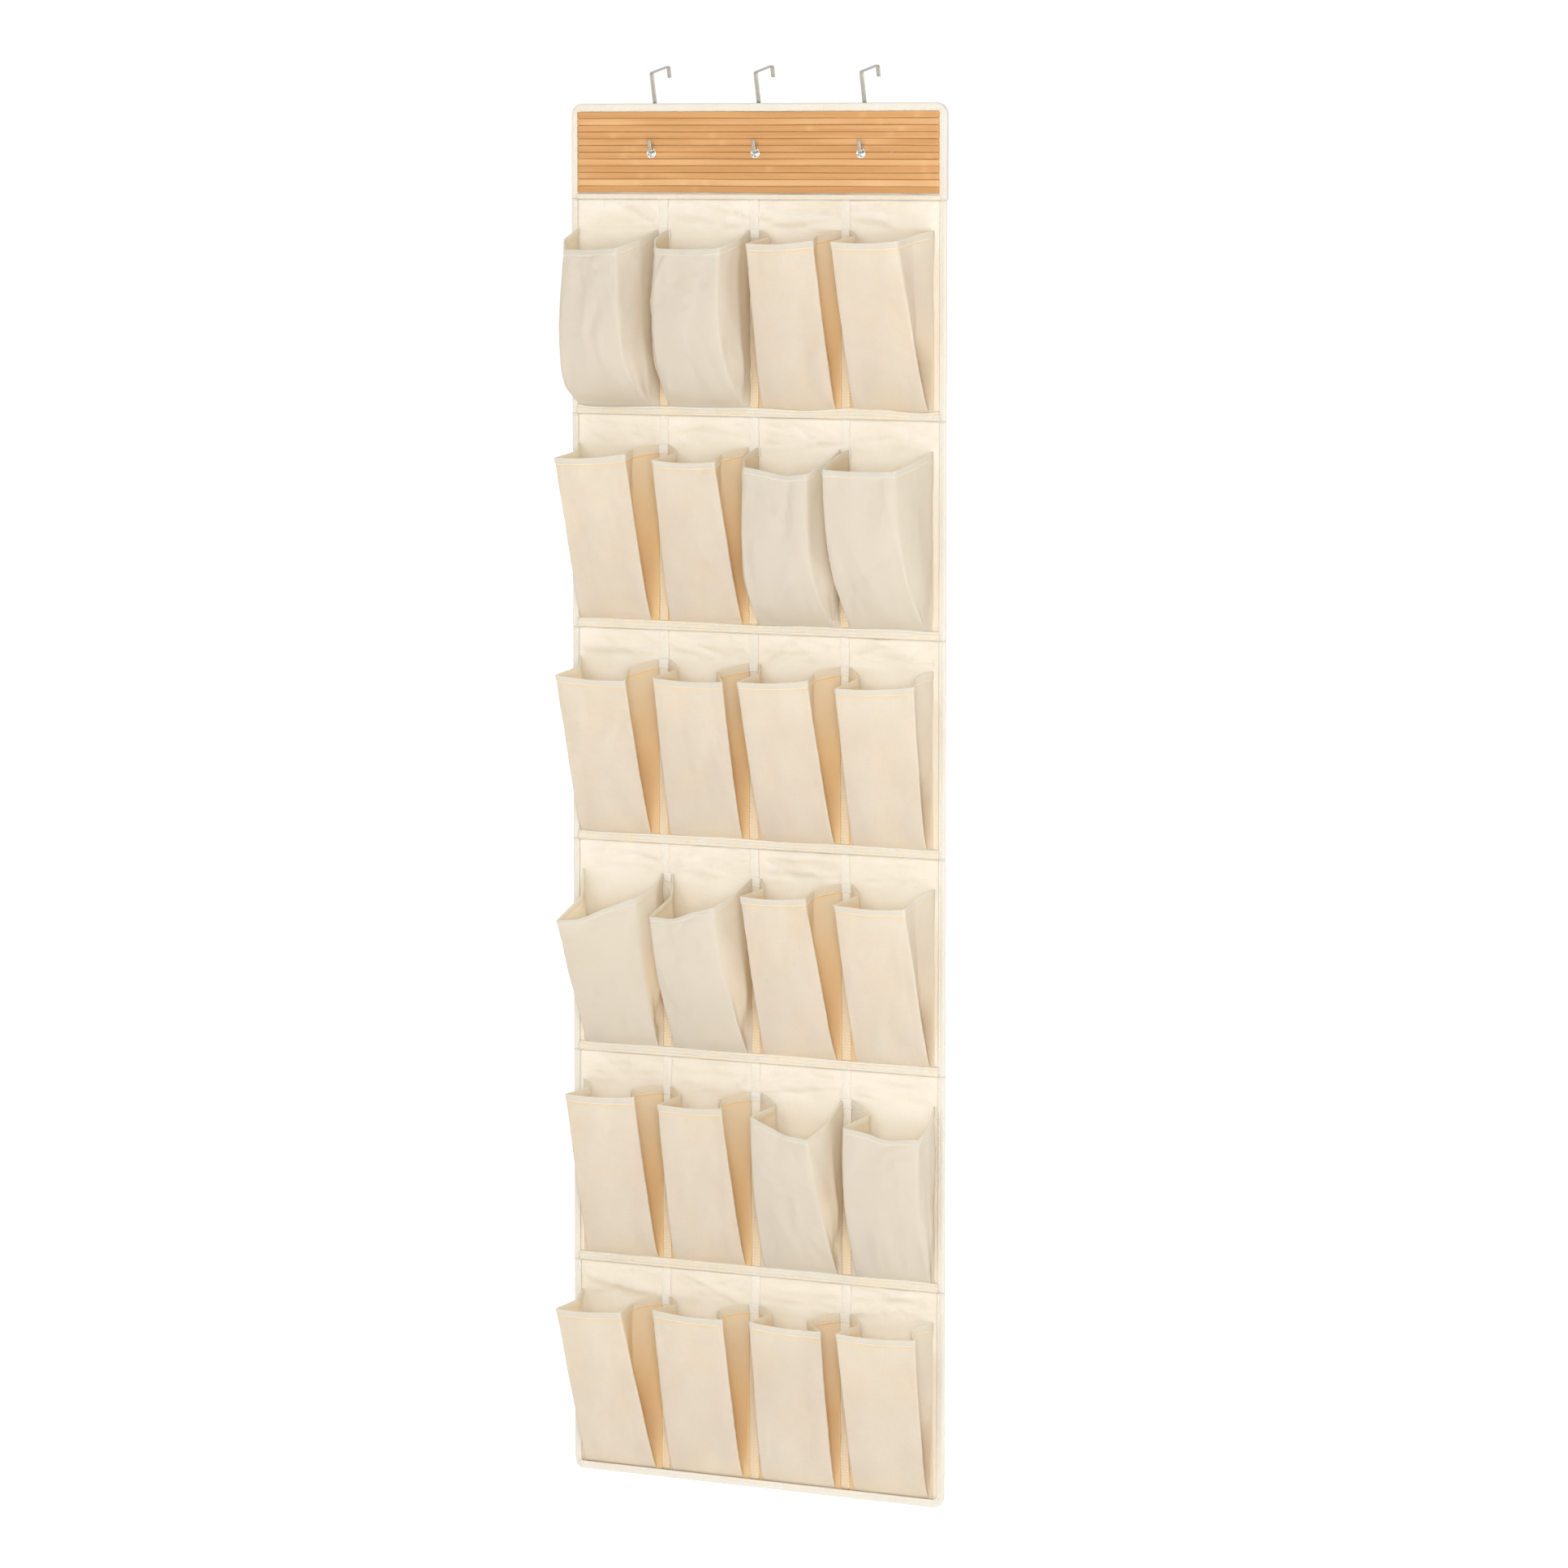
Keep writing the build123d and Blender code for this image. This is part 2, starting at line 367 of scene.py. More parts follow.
# ---- materials
class Nodes:
    """Short calls for building the node tree of a material or a world."""

    def __init__(self, owner, output="OutputMaterial"):
        owner.use_nodes = True
        self.owner = owner
        self.tree = owner.node_tree
        self.tree.nodes.clear()
        self.output = self.tree.nodes.new("ShaderNode" + output)

    def put(self, socket, value):
        """Link a socket or set it. A colour is given by its red, green and blue."""
        if isinstance(value, bpy.types.NodeSocket):
            self.tree.links.new(value, socket)
        elif value is not None:
            socket.default_value = (*value, 1.0) if socket.type == "RGBA" else value

    def add(self, kind, *values, **settings):
        """A node with its inputs set in order, and its properties or named inputs by keyword."""
        node = self.tree.nodes.new("ShaderNode" + kind)
        for key, value in settings.items():
            if hasattr(node, key):
                setattr(node, key, value)
            else:
                self.put(node.inputs[key.replace("_", " ")], value)
        for socket, value in zip(node.inputs, values):
            self.put(socket, value)
        return node

    def math(self, operation, a, b):
        return self.add("Math", a, b, operation=operation).outputs[0]

    def times(self, a, b):
        return self.math("MULTIPLY", a, b)

    def plus(self, a, b):
        return self.math("ADD", a, b)

    def mix(self, factor, a, b):
        return self.add("MixRGB", factor, a, b).outputs[0]

    def ramp(self, value, low, high):
        """0 below low and 1 above high."""
        return self.add("MapRange", value, low, high, 0.0, 1.0, interpolation_type="SMOOTHSTEP").outputs[0]

    def cloth_uv(self, *scale):
        uv = self.add("UVMap", uv_map="cloth").outputs[0]
        return self.add("Mapping", uv, Scale=(*scale, 1)).outputs[0]

    def noise(self, vector, scale, detail, roughness=0.55):
        node = self.add("TexNoise", Vector=vector, Scale=scale, Detail=detail, Roughness=roughness)
        return node.outputs[0]

    def grain(self, across, up, detail, roughness=0.55):
        """Noise over the cloth, with about that many features a metre each way."""
        return self.noise(self.cloth_uv(across, up), 1.0, detail, roughness)

    def painted(self, name):
        """A value that the mesh holds at its points."""
        return self.add("Attribute", attribute_name=name, attribute_type="GEOMETRY").outputs["Fac"]

    def over_zero(self, value):
        """The value, or 0 where it is below that."""
        return self.math("MAXIMUM", value, 0.0)

    def surface(self, colour, strength, distance, height, **settings):
        """A shader of that colour over a bump, and the bump's normal."""
        normal = self.add("Bump", Strength=strength, Distance=distance * MM, Height=height).outputs[0]
        return self.add("BsdfPrincipled", Base_Color=colour, Normal=normal, **settings).outputs[0], normal

    def finish(self, shader):
        self.tree.links.new(shader, self.output.inputs[0])
        return self.owner


def material_nodes(name):
    return Nodes(bpy.data.materials.new(name))


CREAM = (0.86, 0.835, 0.775)
# GOLD and TAN tint cloth with painted glow and shade deep between folds and pockets, UMBER with the painted
# deepest shade; COOL and WARM are the tints for shade below zero: painted shade of doubled or filled cloth,
# and the sheet's darker lower rows.
GOLD = (1.0, 0.735, 0.35)
TAN = (0.77, 0.60, 0.35)
UMBER = (0.74, 0.47, 0.21)
COOL = (0.775, 0.775, 0.735)
WARM = (0.79, 0.71, 0.60)


def canvas(name, colour, glow, translucent, thread=0.62, weave=1.0, shade_tint=COOL):
    """Unbleached plain-weave cotton: crossing threads, slubs, flecks and a soft sheen.

    The shade value on the mesh is painted light and shade. Above zero it turns the colour to a painted
    warm glow where cloth lies deep between folds, and near 1 to a painted deep shade; below zero it
    turns it to a painted shade tint where the cloth is doubled or has something behind it, and to a
    darker tint on the sheet's lower rows.
    """
    m = material_nodes(name)
    split = m.add("SeparateXYZ", m.cloth_uv(1.0, 1.0))
    wander = m.times(m.grain(420, 420, 2.0), 2.6)
    threads = math.tau / (thread * MM)
    warp, weft = (
        m.math("SINE", m.plus(m.times(split.outputs[axis], threads), wander), None) for axis in (0, 1)
    )
    slubs = m.plus(m.grain(70, 1500, 2.0), m.grain(1500, 70, 2.0))
    puckers = m.grain(110, 90, 3.0)
    height = m.plus(m.plus(m.times(m.times(warp, weft), 0.22), slubs), m.times(puckers, 2.2))

    pale = tuple(min(1.0, c * 1.035) for c in colour)
    deep = (colour[0] * 0.93, colour[1] * 0.9, colour[2] * 0.85)
    cloud = m.ramp(m.grain(13, 11, 4.0, 0.6), 0.34, 0.68)
    tint = m.mix(m.times(cloud, 0.4), pale, deep)
    tint = m.mix(m.times(m.ramp(slubs, 0.72, 1.28), 0.35), tint, deep)
    flecks = m.ramp(m.grain(620, 620, 1.0), 0.745, 0.79)
    patches = m.ramp(m.grain(60, 60, 1.0), 0.5, 0.6)
    tint = m.mix(m.times(m.times(flecks, patches), 0.55), tint, (0.30, 0.20, 0.10))
    shade = m.painted("shade")
    # Painted light and shade: the shade value turns the colour to a warm glow, a deep shade, and below zero
    # a shade tint.
    tint = m.mix(m.over_zero(shade), tint, glow)
    tint = m.mix(m.ramp(shade, 0.62, 1.05), tint, UMBER)
    tint = m.mix(m.over_zero(m.times(shade, -1.0)), tint, shade_tint)

    sheen = {"Sheen_Weight": 0.22, "Sheen_Roughness": 0.45, "Sheen_Tint": (1.0, 0.93, 0.8)}
    finish = {"Roughness": 0.93, "Specular_IOR_Level": 0.18}
    face, normal = m.surface(tint, 0.55 * weave, 0.28, height, **finish, **sheen)
    through = m.add("BsdfTranslucent", m.mix(0.22, tint, (0.93, 0.75, 0.50)), normal)
    return m.finish(m.add("MixShader", translucent, face, through.outputs[0]).outputs[0])


def bamboo():
    """Split bamboo: long fine fibres, paler and darker slats, and broken marks at the nodes."""
    m = material_nodes("bamboo")
    fibres = m.grain(9, 1300, 4.0, 0.6)
    streaks = m.grain(3.5, 260, 3.0)
    shade, knot = m.painted("shade"), m.painted("knot")
    tint = m.mix(m.ramp(streaks, 0.3, 0.7), (0.552, 0.301, 0.122), (0.474, 0.239, 0.088))
    tint = m.mix(m.times(m.ramp(fibres, 0.35, 0.75), 0.5), tint, (0.45, 0.22, 0.072))
    hairs = m.ramp(m.grain(24, 3600, 2.0, 0.7), 0.5, 0.72)
    tint = m.mix(m.times(hairs, 0.3), tint, (0.42, 0.20, 0.065))
    cracks = m.ramp(m.grain(1100, 330, 3.0, 0.7), 0.52, 0.6)
    tint = m.mix(m.times(m.times(knot, cracks), 0.55), tint, (0.36, 0.165, 0.045))
    tint = m.mix(m.times(knot, 0.22), tint, (0.74, 0.47, 0.23))
    # Shade darkens above zero and pales below: each slat's own tone, its darker edges, and a painted
    # highlight just below each slat's top edge.
    tint = m.mix(m.over_zero(shade), tint, (0.36, 0.17, 0.05))
    tint = m.mix(m.over_zero(m.times(shade, -1.0)), tint, (0.80, 0.54, 0.29))
    rough = m.plus(m.times(fibres, 0.25), 0.4)
    face, _ = m.surface(tint, 0.35, 0.15, fibres, Roughness=rough, Specular_IOR_Level=0.3)
    return m.finish(face)


def nickel(name, bright, worn, roughness):
    """Plated metal, with fine marks along it and a little wear."""
    m = material_nodes(name)
    marks = m.grain(900, 60, 3.0)
    tint = m.mix(m.ramp(m.grain(90, 90, 4.0), 0.35, 0.7), bright, worn)
    rough = m.plus(m.times(marks, 0.18), roughness)
    face, _ = m.surface(tint, 0.06, 0.03, marks, Metallic=1.0, Roughness=rough)
    return m.finish(face)


def board_material():
    """Grey-brown stiffener board with paper fibres."""
    m = material_nodes("board")
    fibre = m.grain(300, 300, 5.0)
    tint = m.mix(fibre, (0.50, 0.41, 0.29), (0.36, 0.28, 0.19))
    face, _ = m.surface(tint, 0.3, 0.1, fibre, Roughness=0.9)
    return m.finish(face)


def thread_material():
    """Cotton sewing thread, twisted, a little lighter than the cloth."""
    m = material_nodes("thread")
    twist = m.grain(1500, 900, 2.0)
    tint = m.mix(twist, (0.93, 0.88, 0.76), (0.80, 0.70, 0.52))
    face, _ = m.surface(tint, 0.4, 0.1, twist, Roughness=0.8, Sheen_Weight=0.2)
    return m.finish(face)


SHEET_CLOTH = canvas("canvas_sheet", CREAM, TAN, 0.36, shade_tint=WARM)
POCKET_CLOTH = canvas("canvas_pocket", (0.826, 0.808, 0.748), GOLD, 0.56)
TAPE_CLOTH = canvas("canvas_tape", (0.785, 0.745, 0.665), GOLD, 0.22, 0.5, 1.15)
UPRIGHT_CLOTH = canvas("canvas_upright", (0.88, 0.85, 0.78), TAN, 0.3)
SCRIM = canvas("backing_scrim", (0.62, 0.38, 0.17), (0.4, 0.22, 0.08), 0.1, 1.1, 1.3)
BAMBOO = bamboo()
STRIP_METAL = nickel("nickel_strip", (0.45, 0.425, 0.365), (0.37, 0.345, 0.295), 0.24)
RING_METAL = nickel("nickel_bright", (0.84, 0.83, 0.80), (0.74, 0.72, 0.68), 0.06)
BOARD = board_material()
THREAD = thread_material()


# ---- bindings
def corner_arc(centre_x, centre_z, start, end):
    """Points of a rounded corner between two angles in degrees, and their outward normals."""
    angles = np.radians(np.linspace(start, end, 9))
    normals = np.stack([np.cos(angles), np.sin(angles)], axis=1)
    return np.array((centre_x, centre_z)) + CORNER_R * normals, normals


def straight(a, b, normal):
    """Points about 3 mm apart from a to b, with the same normal at each."""
    count = max(2, int(math.dist(a, b) / 3.0))
    share = np.linspace(0, 1, count)[:, None]
    points = np.array(a) * (1 - share) + np.array(b) * share
    return points, np.tile(normal, (count, 1))


def path_round_end(open_z, edge_z):
    """Down one side to an edge, along it and up the other side: XZ points and outward normals."""
    up = 1 if edge_z > open_z else -1
    arc_x, arc_z = HALF_W - CORNER_R, edge_z - up * CORNER_R
    turn = 180 - 90 * up
    stretches = [
        straight((-HALF_W, open_z), (-HALF_W, arc_z), (-1, 0)),
        corner_arc(-arc_x, arc_z, 180, turn),
        straight((-arc_x, edge_z), (arc_x, edge_z), (0, up)),
        corner_arc(arc_x, arc_z, turn, 180 - 180 * up),
        straight((HALF_W, arc_z), (HALF_W, open_z), (1, 0)),
    ]
    points, normals = (np.concatenate(parts) for parts in zip(*stretches))
    single = np.concatenate([[True], np.linalg.norm(np.diff(points, axis=0), axis=1) > 0.3])
    return points[single], normals[single]


def binding_profile(core_t, width):
    """A folded tape's (inset, y) points: front flange, round the edge, back flange."""
    front = [(width, -0.28), (width - 0.6, -0.62), (width - 1.9, -0.36), (width - 3.4, -0.85)]
    front += [(width * 0.35, -0.95), (1.4, -0.82), (0.45, -0.5)]
    back = [(0.45, 0.5), (1.4, 0.78), (width - 3.2, 0.7), (width - 1.9, 0.35)]
    back += [(width - 0.6, 0.5), (width, 0.2)]
    return front + [(0.15, core_t / 2)] + [(inset, core_t + out) for inset, out in back]


def binding(name, path, outward, core_t, seed, width=BINDING_W, swell=0.0):
    """A binding and its stitch lines along an XZ path whose outward side is given."""
    profile = binding_profile(core_t, width)
    along, across = run_along(path), run_along(profile)[:, None]
    middle = []
    for inset, y in profile:
        x, z = (path - outward * inset).T
        puckered = y - swell * (y <= 0) + 0.105 * ripple(along, inset * 3, 9, seed)
        middle.append(np.stack([x, puckered, z], axis=1))
    outer, inner = thick(np.array(middle), 0.5)
    if outer[0, 0, 1] > inner[0, 0, 1]:  # its front flange's outer face is the one nearer -Y
        outer, inner = inner, outer
    # Painted shade along the stitched groove, and a little toward the cloth's below-zero shade tint overall.
    shade = 0.05 * ripple(along, across, 60, seed + 3) + 0.3 * bell(across - across[2], 0.8) - 0.12
    obj = cloth(name, outer, inner, TAPE_CLOTH, grid_of(along, across), shade)
    return obj, [(outer[2], FORWARD), (outer[-3], -FORWARD)]


# ---- header
def header_binding():
    """A folded tape over the header's top and sides, as wide as the slats leave room for."""
    path, outward = path_round_end(-HEADER_H, 0)
    obj, lines = binding("header_edge_binding", path, outward, CORE_T, 11, -SLATS_HI.z - 0.05)
    fixed(obj, "header", "binding_tape", "header_binding")
    fixed(stitches("header_binding_thread", lines), "header", "binding_tape")


def header_cover(name, y, node, seed, trim=()):
    """Canvas over one face of the board, gently wrinkled, with the eyelet holes."""
    half_width, top = HALF_W - COVER_INSET, -1.4
    x, z = plane(half_width, -HEADER_H, top, 120, 30)
    inset = np.minimum(HALF_W - np.abs(x), -z) / 14
    near = np.minimum.reduce([np.hypot(x - hook_x, z - EYELET_Z) for hook_x in HOOK_XS]) / 16
    fade = smooth(inset) * smooth(near - 0.45)
    lift = 0.16 * ripple(x, z, 60, seed)
    lift = lift + 0.3 * random_creases(x, z, seed + 1, 14, (-220, 220, -100, -8), 2.2)
    middle = grid_of(x, y + lift * fade, z)
    round_corners(middle, half_width, top, CORNER_R - COVER_INSET, 1)
    front, back = thick(middle, 0.55)
    obj = cloth(name, front, back, SHEET_CLOTH, grid_of(x, z), 0.0)
    punch_eyelets(obj)
    fixed(obj, "header", "canvas", node)


def slats():
    """Bamboo slats with rounded faces, slightly uneven, with node ridges and dark edges."""
    draw = random.Random(5)
    # Each slat's tone from the top down: darker above zero.
    tones = (0.05, -0.12, 0.03, 0.07, 0.0, 0.1, 0.02, -0.16, 0.08, -0.02, -0.3, 0.16)
    pitch = (SLATS_HI.z - SLATS_LO.z + 0.5) / len(tones)
    back_y, depth = SLATS_HI.y, SLATS_LO.y - SLATS_HI.y
    # Up a slat: the share of its width, the share of its depth and how much darker it is, darker at both
    # edges and lighter just below its top edge, a painted highlight where the rounding faces the light.
    section = [(0.0, 0.3, 0.5), (0.015, 0.8, 0.22), (0.06, 0.98, 0.04), (0.3, 1.03, 0)]
    section += [(0.7, 1.03, 0), (0.94, 0.98, -0.08), (0.985, 0.8, -0.14), (1.0, 0.3, 0.3)]
    up, out, darker = (np.array(part)[:, None] for part in zip(*section))
    xs = np.linspace(SLATS_LO.x, SLATS_HI.x, 150)
    round_ends = smooth(1 - (xs - SLATS_LO.x) / 1.2) + smooth(1 - (SLATS_HI.x - xs) / 1.2)
    points, faces, uvs, shades, knots = [], [], [], [], []
    for k, tone in enumerate(tones):
        top = SLATS_HI.z - k * pitch
        width = pitch - draw.uniform(0.3, 0.55)
        nodes = [draw.uniform(SLATS_LO.x, SLATS_HI.x) for _ in range(draw.choice((1, 2, 2, 3)))]
        ridge = sum(bell(xs - node, 1.3) for node in nodes)
        mark = sum(bell(xs - node, 4.5) for node in nodes)
        y = back_y + depth * (out * (1 - 0.35 * round_ends) + 0.1 * ridge * (out > 0.9))
        z = top - width * (1 - up) + 0.16 * ripple(xs, xs * 0, 150, 40 + k)
        part, quads = shell_parts(grid_of(xs, y, z), grid_of(xs, back_y + 0.02, z))
        first = len(points)
        points.extend(part.tolist())
        faces.extend(tuple(i + first for i in quad) for quad in quads)
        uv = grid_of(xs + 57.0 * k, up * width + 31.0 * k).reshape(-1, 2) * MM
        uvs.extend(uv.tolist() * 2)
        shade = tone + 0.05 * ripple(xs, 0 * xs, 90, 70 + k) + darker
        shades.extend(np.tile(shade.ravel(), 2).tolist())
        knots.extend(np.tile(np.clip(mark, 0, 1), 2 * len(section)).tolist())
    obj = mesh_object("bamboo_slats", np.array(points), faces, BAMBOO, np.array(uvs), shades)
    knot = obj.data.attributes.new("knot", "FLOAT", "POINT")
    knot.data.foreach_set("value", np.array(knots, np.float32))
    punch_eyelets(obj)
    fixed(obj, "header", "bamboo", "slats")


def backing():
    """The cloth that the slats are glued to."""
    edge_x, low, high = SLATS_HI.x - 0.4, SLATS_LO.z + 0.3, SLATS_HI.z - 0.3
    x, z = plane(edge_x, low, high, 60, 14)
    obj, _ = strip("slat_backing_cloth", x, SLATS_HI.y + 0.05, z, -0.06, SCRIM, grid_of(x, z), 0.0)
    punch_eyelets(obj)
    fixed(obj, "header", "backing_cloth", "slat_backing")


def puffed(x, z, share, depth, grooves, seed, pucker):
    """Y of a gathered strip's front, swollen between its rows of stitching."""
    swell = 0.55 + 0.45 * np.sqrt(np.clip(np.sin(np.pi * share), 0, 1))
    for groove in grooves:
        swell = swell - 0.38 * bell(share - groove, 0.07)
    gathers = 1 + pucker * ripple(x, z * 0.6, 8, seed) + 0.6 * pucker * ripple(x, z * 0.2, 26, seed + 1)
    return -depth * swell * np.clip(gathers, 0.55, 1.5)


def piping():
    """The folded strip of canvas under the slats, and its line of stitching."""
    low, high = -HEADER_H, box("header_piping")[1].z
    edge_x = HALF_W - BINDING_W + 1
    x, z = plane(edge_x, low, high, 230, 13)
    share = np.clip((z - low) / (high - low), 0, 1)
    y = puffed(x, z, share, 2.2, (0.22,), 21, 0.06)
    obj, front = strip("header_piping_fold", x, y, z, -0.03, TAPE_CLOTH, grid_of(x, z), 0.1)
    fixed(obj, "header", "binding_tape", "header_piping")
    thread = stitches("header_piping_thread", [(front[3], FORWARD)])
    fixed(thread, "header", "binding_tape")
    return [obj, thread]


def lathe(name, sections, node):
    """Rings turned about the eyelets' axes: sections = [(radius, y)], a closed loop."""
    turns, size = 48, len(sections)
    points, faces = [], []
    for x in HOOK_XS:
        faces += tube_faces(turns, size, len(points), closed=True)
        for k in range(turns):
            across, up = math.cos(math.tau * k / turns), math.sin(math.tau * k / turns)
            points += [(x + radius * across, y, EYELET_Z + radius * up) for radius, y in sections]
    fixed(mesh_object(name, np.array(points), faces, RING_METAL), "header", "nickel", node)


def eyelet_rings():
    """Rolled front flange with a barrel, and the washer it is set against behind."""
    roll = [(4.1, -0.1), (4.15, -0.55), (4.5, -0.86), (5.0, -0.92), (5.5, -0.8), (5.88, -0.45), (5.95, -0.1)]
    roll = [(radius, SLATS_LO.y + y) for radius, y in roll + [(5.6, 0.03), (4.5, 0.05)]]
    barrel = [(4.5, 0.1), (4.9, 0.45), (4.6, 0.62), (4.05, 0.3)]
    washer = [(4.55, 0.02), (5.85, 0.02), (6.0, 0.2), (5.8, 0.42), (5.2, 0.62), (4.95, 0.3)]
    barrel, washer = ([(radius, CORE_T + y) for radius, y in section] for section in (barrel, washer))
    lathe("eyelet_rings", roll + barrel, "eyelets")
    lathe("eyelet_set_washers", washer, "eyelet_washers")


HOOK_T, HOOK_W = 1.5, 5.0
HOOK_SEAT = 15.8  # from the pivot back to the shank
HOOK_TILT = math.radians(12)
HOOK_PIVOT = ((SLATS_LO.y + CORE_T) / 2, EYELET_Z + 1.2)


def hook_line():
    """The bent strip's middle line, as (depth, height) from its pivot while it stands upright.

    Lip, seat through the eyelet, shank, bridge over the door and tail, as in the CAD hook.
    """
    seat_front, lip, tail, door_gap, rise, bend = 5.6, 15.0, 13.0, 35.0, 34.0, 2.4
    shank = (rise - HOOK_PIVOT[1] - HOOK_SEAT * math.sin(HOOK_TILT)) / math.cos(HOOK_TILT)
    tail_u = HOOK_SEAT + door_gap + HOOK_T
    corners = [(-seat_front, lip), (-seat_front, 0), (HOOK_SEAT, 0), (HOOK_SEAT, shank)]
    corners += [(tail_u, shank), (tail_u, shank - tail)]
    corners = np.array(corners, float)
    line = [corners[0]]
    for before, at, after in zip(corners, corners[1:], corners[2:]):
        a = (before - at) / math.dist(before, at)
        b = (after - at) / math.dist(after, at)
        for turn in np.radians(np.linspace(0, 90, 8)):
            line.append(at + (a + b) * bend - b * bend * math.cos(turn) - a * bend * math.sin(turn))
    return np.array(line + [corners[-1]])


def hook_piece(side, centre_x):
    """A bent strip with softened edges, on the line of the CAD hook."""
    line = hook_line()
    tangent = np.gradient(line, axis=0)
    tangent /= np.linalg.norm(tangent, axis=1, keepdims=True)
    normal = np.stack([-tangent[:, 1], tangent[:, 0]], axis=1)
    edge, half_w, half_t = 0.42, HOOK_W / 2, HOOK_T / 2
    section = [(half_w - edge, half_t), (half_w, half_t - edge)]
    section += [(across, -out) for across, out in section[::-1]]
    section += [(-across, out) for across, out in section[::-1]]
    cos, sin = math.cos(HOOK_TILT), math.sin(HOOK_TILT)
    lean = np.array([[cos, sin], [-sin, cos]])
    shrink = np.ones(len(line))
    shrink[[0, -1]] = 0.9
    points, uv = [], []
    for p, n, scale, along in zip(line, normal, shrink, run_along(line)):
        for across, out in section:
            y, z = (p + n * out * scale) @ lean + HOOK_PIVOT
            points.append((centre_x + across * scale, y, z))
            uv.append((along * MM, (across + 0.6 * out) * MM))
    size = len(section)
    faces = tube_faces(len(line), size)
    faces.append(tuple(range(size))[::-1])
    faces.append(tuple(range(len(points) - size, len(points))))
    obj = mesh_object(f"hook_strip_{side}", np.array(points), faces, STRIP_METAL, np.array(uv), flat=True)
    bevel = obj.modifiers.new("soft", "BEVEL")
    bevel.width, bevel.segments = 0.12 * MM, 2
    bevel.limit_method, bevel.angle_limit = "ANGLE", math.radians(30)
    bake_modifiers(obj)
    fixed(obj, f"hook_{side}", "nickel", f"hook_{side}")


def header():
    """Every piece of the header and its hooks. The board is the CAD's own, in board material."""
    header_cover("header_front_canvas", 0.3, "header_cover_front", 31, piping())
    header_cover("header_back_canvas", CORE_T - 0.25, "header_cover_back", 37)
    header_binding()
    backing()
    slats()
    eyelet_rings()
    for side, x in zip(HOOK_SIDES, HOOK_XS):
        hook_piece(side, x)
    board = next(o for o in bpy.data.objects if o.get("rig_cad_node") == "header_board")
    board.data.materials.clear()
    board.data.materials.append(BOARD)


# ---- pockets
# How far each column's sewing wanders from its even place, in mm, row by row.
WANDER = (
    (-10, -5, -2, -1),
    (-9, -6, -4, -4),
    (-10, -6, -3, -2),
    (-1, 0, 0, 3),
    (-1, -2, 1, 4),
    (-5, -6, -2, 1),
)


class Pocket:
    """How one pocket hangs. Depths, shifts and drops are of its two front corners at the mouth.

    Each gusset's pleat is 1 when pressed well inward, 0 when flat and below 0 when it bulges.
    Full is how far something has swollen it, most of all low down if foot is high.
    """

    def __init__(
        self, depth, shift, drop, belly=2.5, full=0.0, dip=0.0, dip_at=0.5, pleat=(0.8, 1.15), foot=2.5
    ):
        self.depth, self.shift, self.drop = depth, shift, drop
        self.belly, self.full, self.dip, self.dip_at = belly, full, dip, dip_at
        self.pleat, self.foot = pleat, foot


BULGING = (-0.35, -0.35)
POCKETS = (
    (
        Pocket((50, 60), (5, -15), (56, 54), 5, 0.9, pleat=BULGING, foot=7.0),
        Pocket((50, 59), (7, 0), (54, 53), 4, 0.85, pleat=BULGING, foot=4.2),
        Pocket((50, 56), (6, 1), (48, 44), 2, pleat=(0.8, 0.7)),
        Pocket((56, 62), (1, -7), (45, 44), 3, pleat=(0.8, 0.35)),
    ),
    (
        Pocket((60, 61), (-3, -4), (48, 42), 2, pleat=(0.7, 0.8)),
        Pocket((52, 61), (3, -5), (48, 48), 2, pleat=(0.8, 0.9)),
        Pocket((51, 60), (5, -4), (53, 59), 4, 0.8, 4, 0.7, pleat=BULGING, foot=5.0),
        Pocket((62, 62), (-5, -7), (53, 53), 4, 0.7, pleat=(-0.3, -0.15), foot=3.3),
    ),
    (
        Pocket((60, 61), (-2, -4), (51, 54), 2),
        Pocket((52, 55), (4, 2), (50, 51), 2),
        Pocket((59, 61), (0, -3), (50, 45), 3, pleat=(0.7, 0.8)),
        Pocket((51, 46), (4, 7), (53, 48), 2, pleat=(0.8, 0.4)),
    ),
    (
        Pocket((61, 48), (-5, -2), (88, 58), 6, 0.3, 5, 0.25, pleat=(0.85, -0.4)),
        Pocket((58, 62), (0, -9), (77, 62), 5, 0.45, 5, 0.35, pleat=(0.7, -0.35)),
        Pocket((56, 62), (1, -6), (48, 45), 2, pleat=(0.75, 0.85)),
        Pocket((54, 57), (3, 0), (51, 51), 2, pleat=(0.8, 0.35)),
    ),
    (
        Pocket((54, 57), (2, 1), (44, 41), 2),
        Pocket((50, 58), (6, 0), (48, 46), 2),
        Pocket((46, 54), (8, -8), (54, 74), 4, 0.4, 3, 0.6, pleat=(0.9, -0.35)),
        Pocket((43, 40), (8, 9), (58, 66), 5, 0.7, 5, 0.6, pleat=(0.95, -0.15)),
    ),
    (
        Pocket((62, 63), (-5, -13), (48, 45), 3, pleat=(0.6, 1.0)),
        Pocket((54, 56), (3, 2), (40, 43), 2),
        Pocket((47, 48), (8, 7), (44, 47), 1.5),
        Pocket((51, 46), (5, 9), (47, 47), 2, pleat=(0.8, 0.6)),
    ),
)
# Depths of the rows of points at the mouth, close together at the stitching and the rim.
MOUTH_ROWS = (11.2, 10.4, 9.8, 9.3, 8.8, STITCH_BELOW_MOUTH, 7.8, 6.6, 4.6, 2.4, 0.9, 0.25, 0.0)
GUSSET_CELLS = 10
FRONT_CELLS = 30


def column_x(column):
    """The middle of an even column of pockets."""
    return (column + 0.5 - COLUMNS / 2) * COLUMN_PITCH


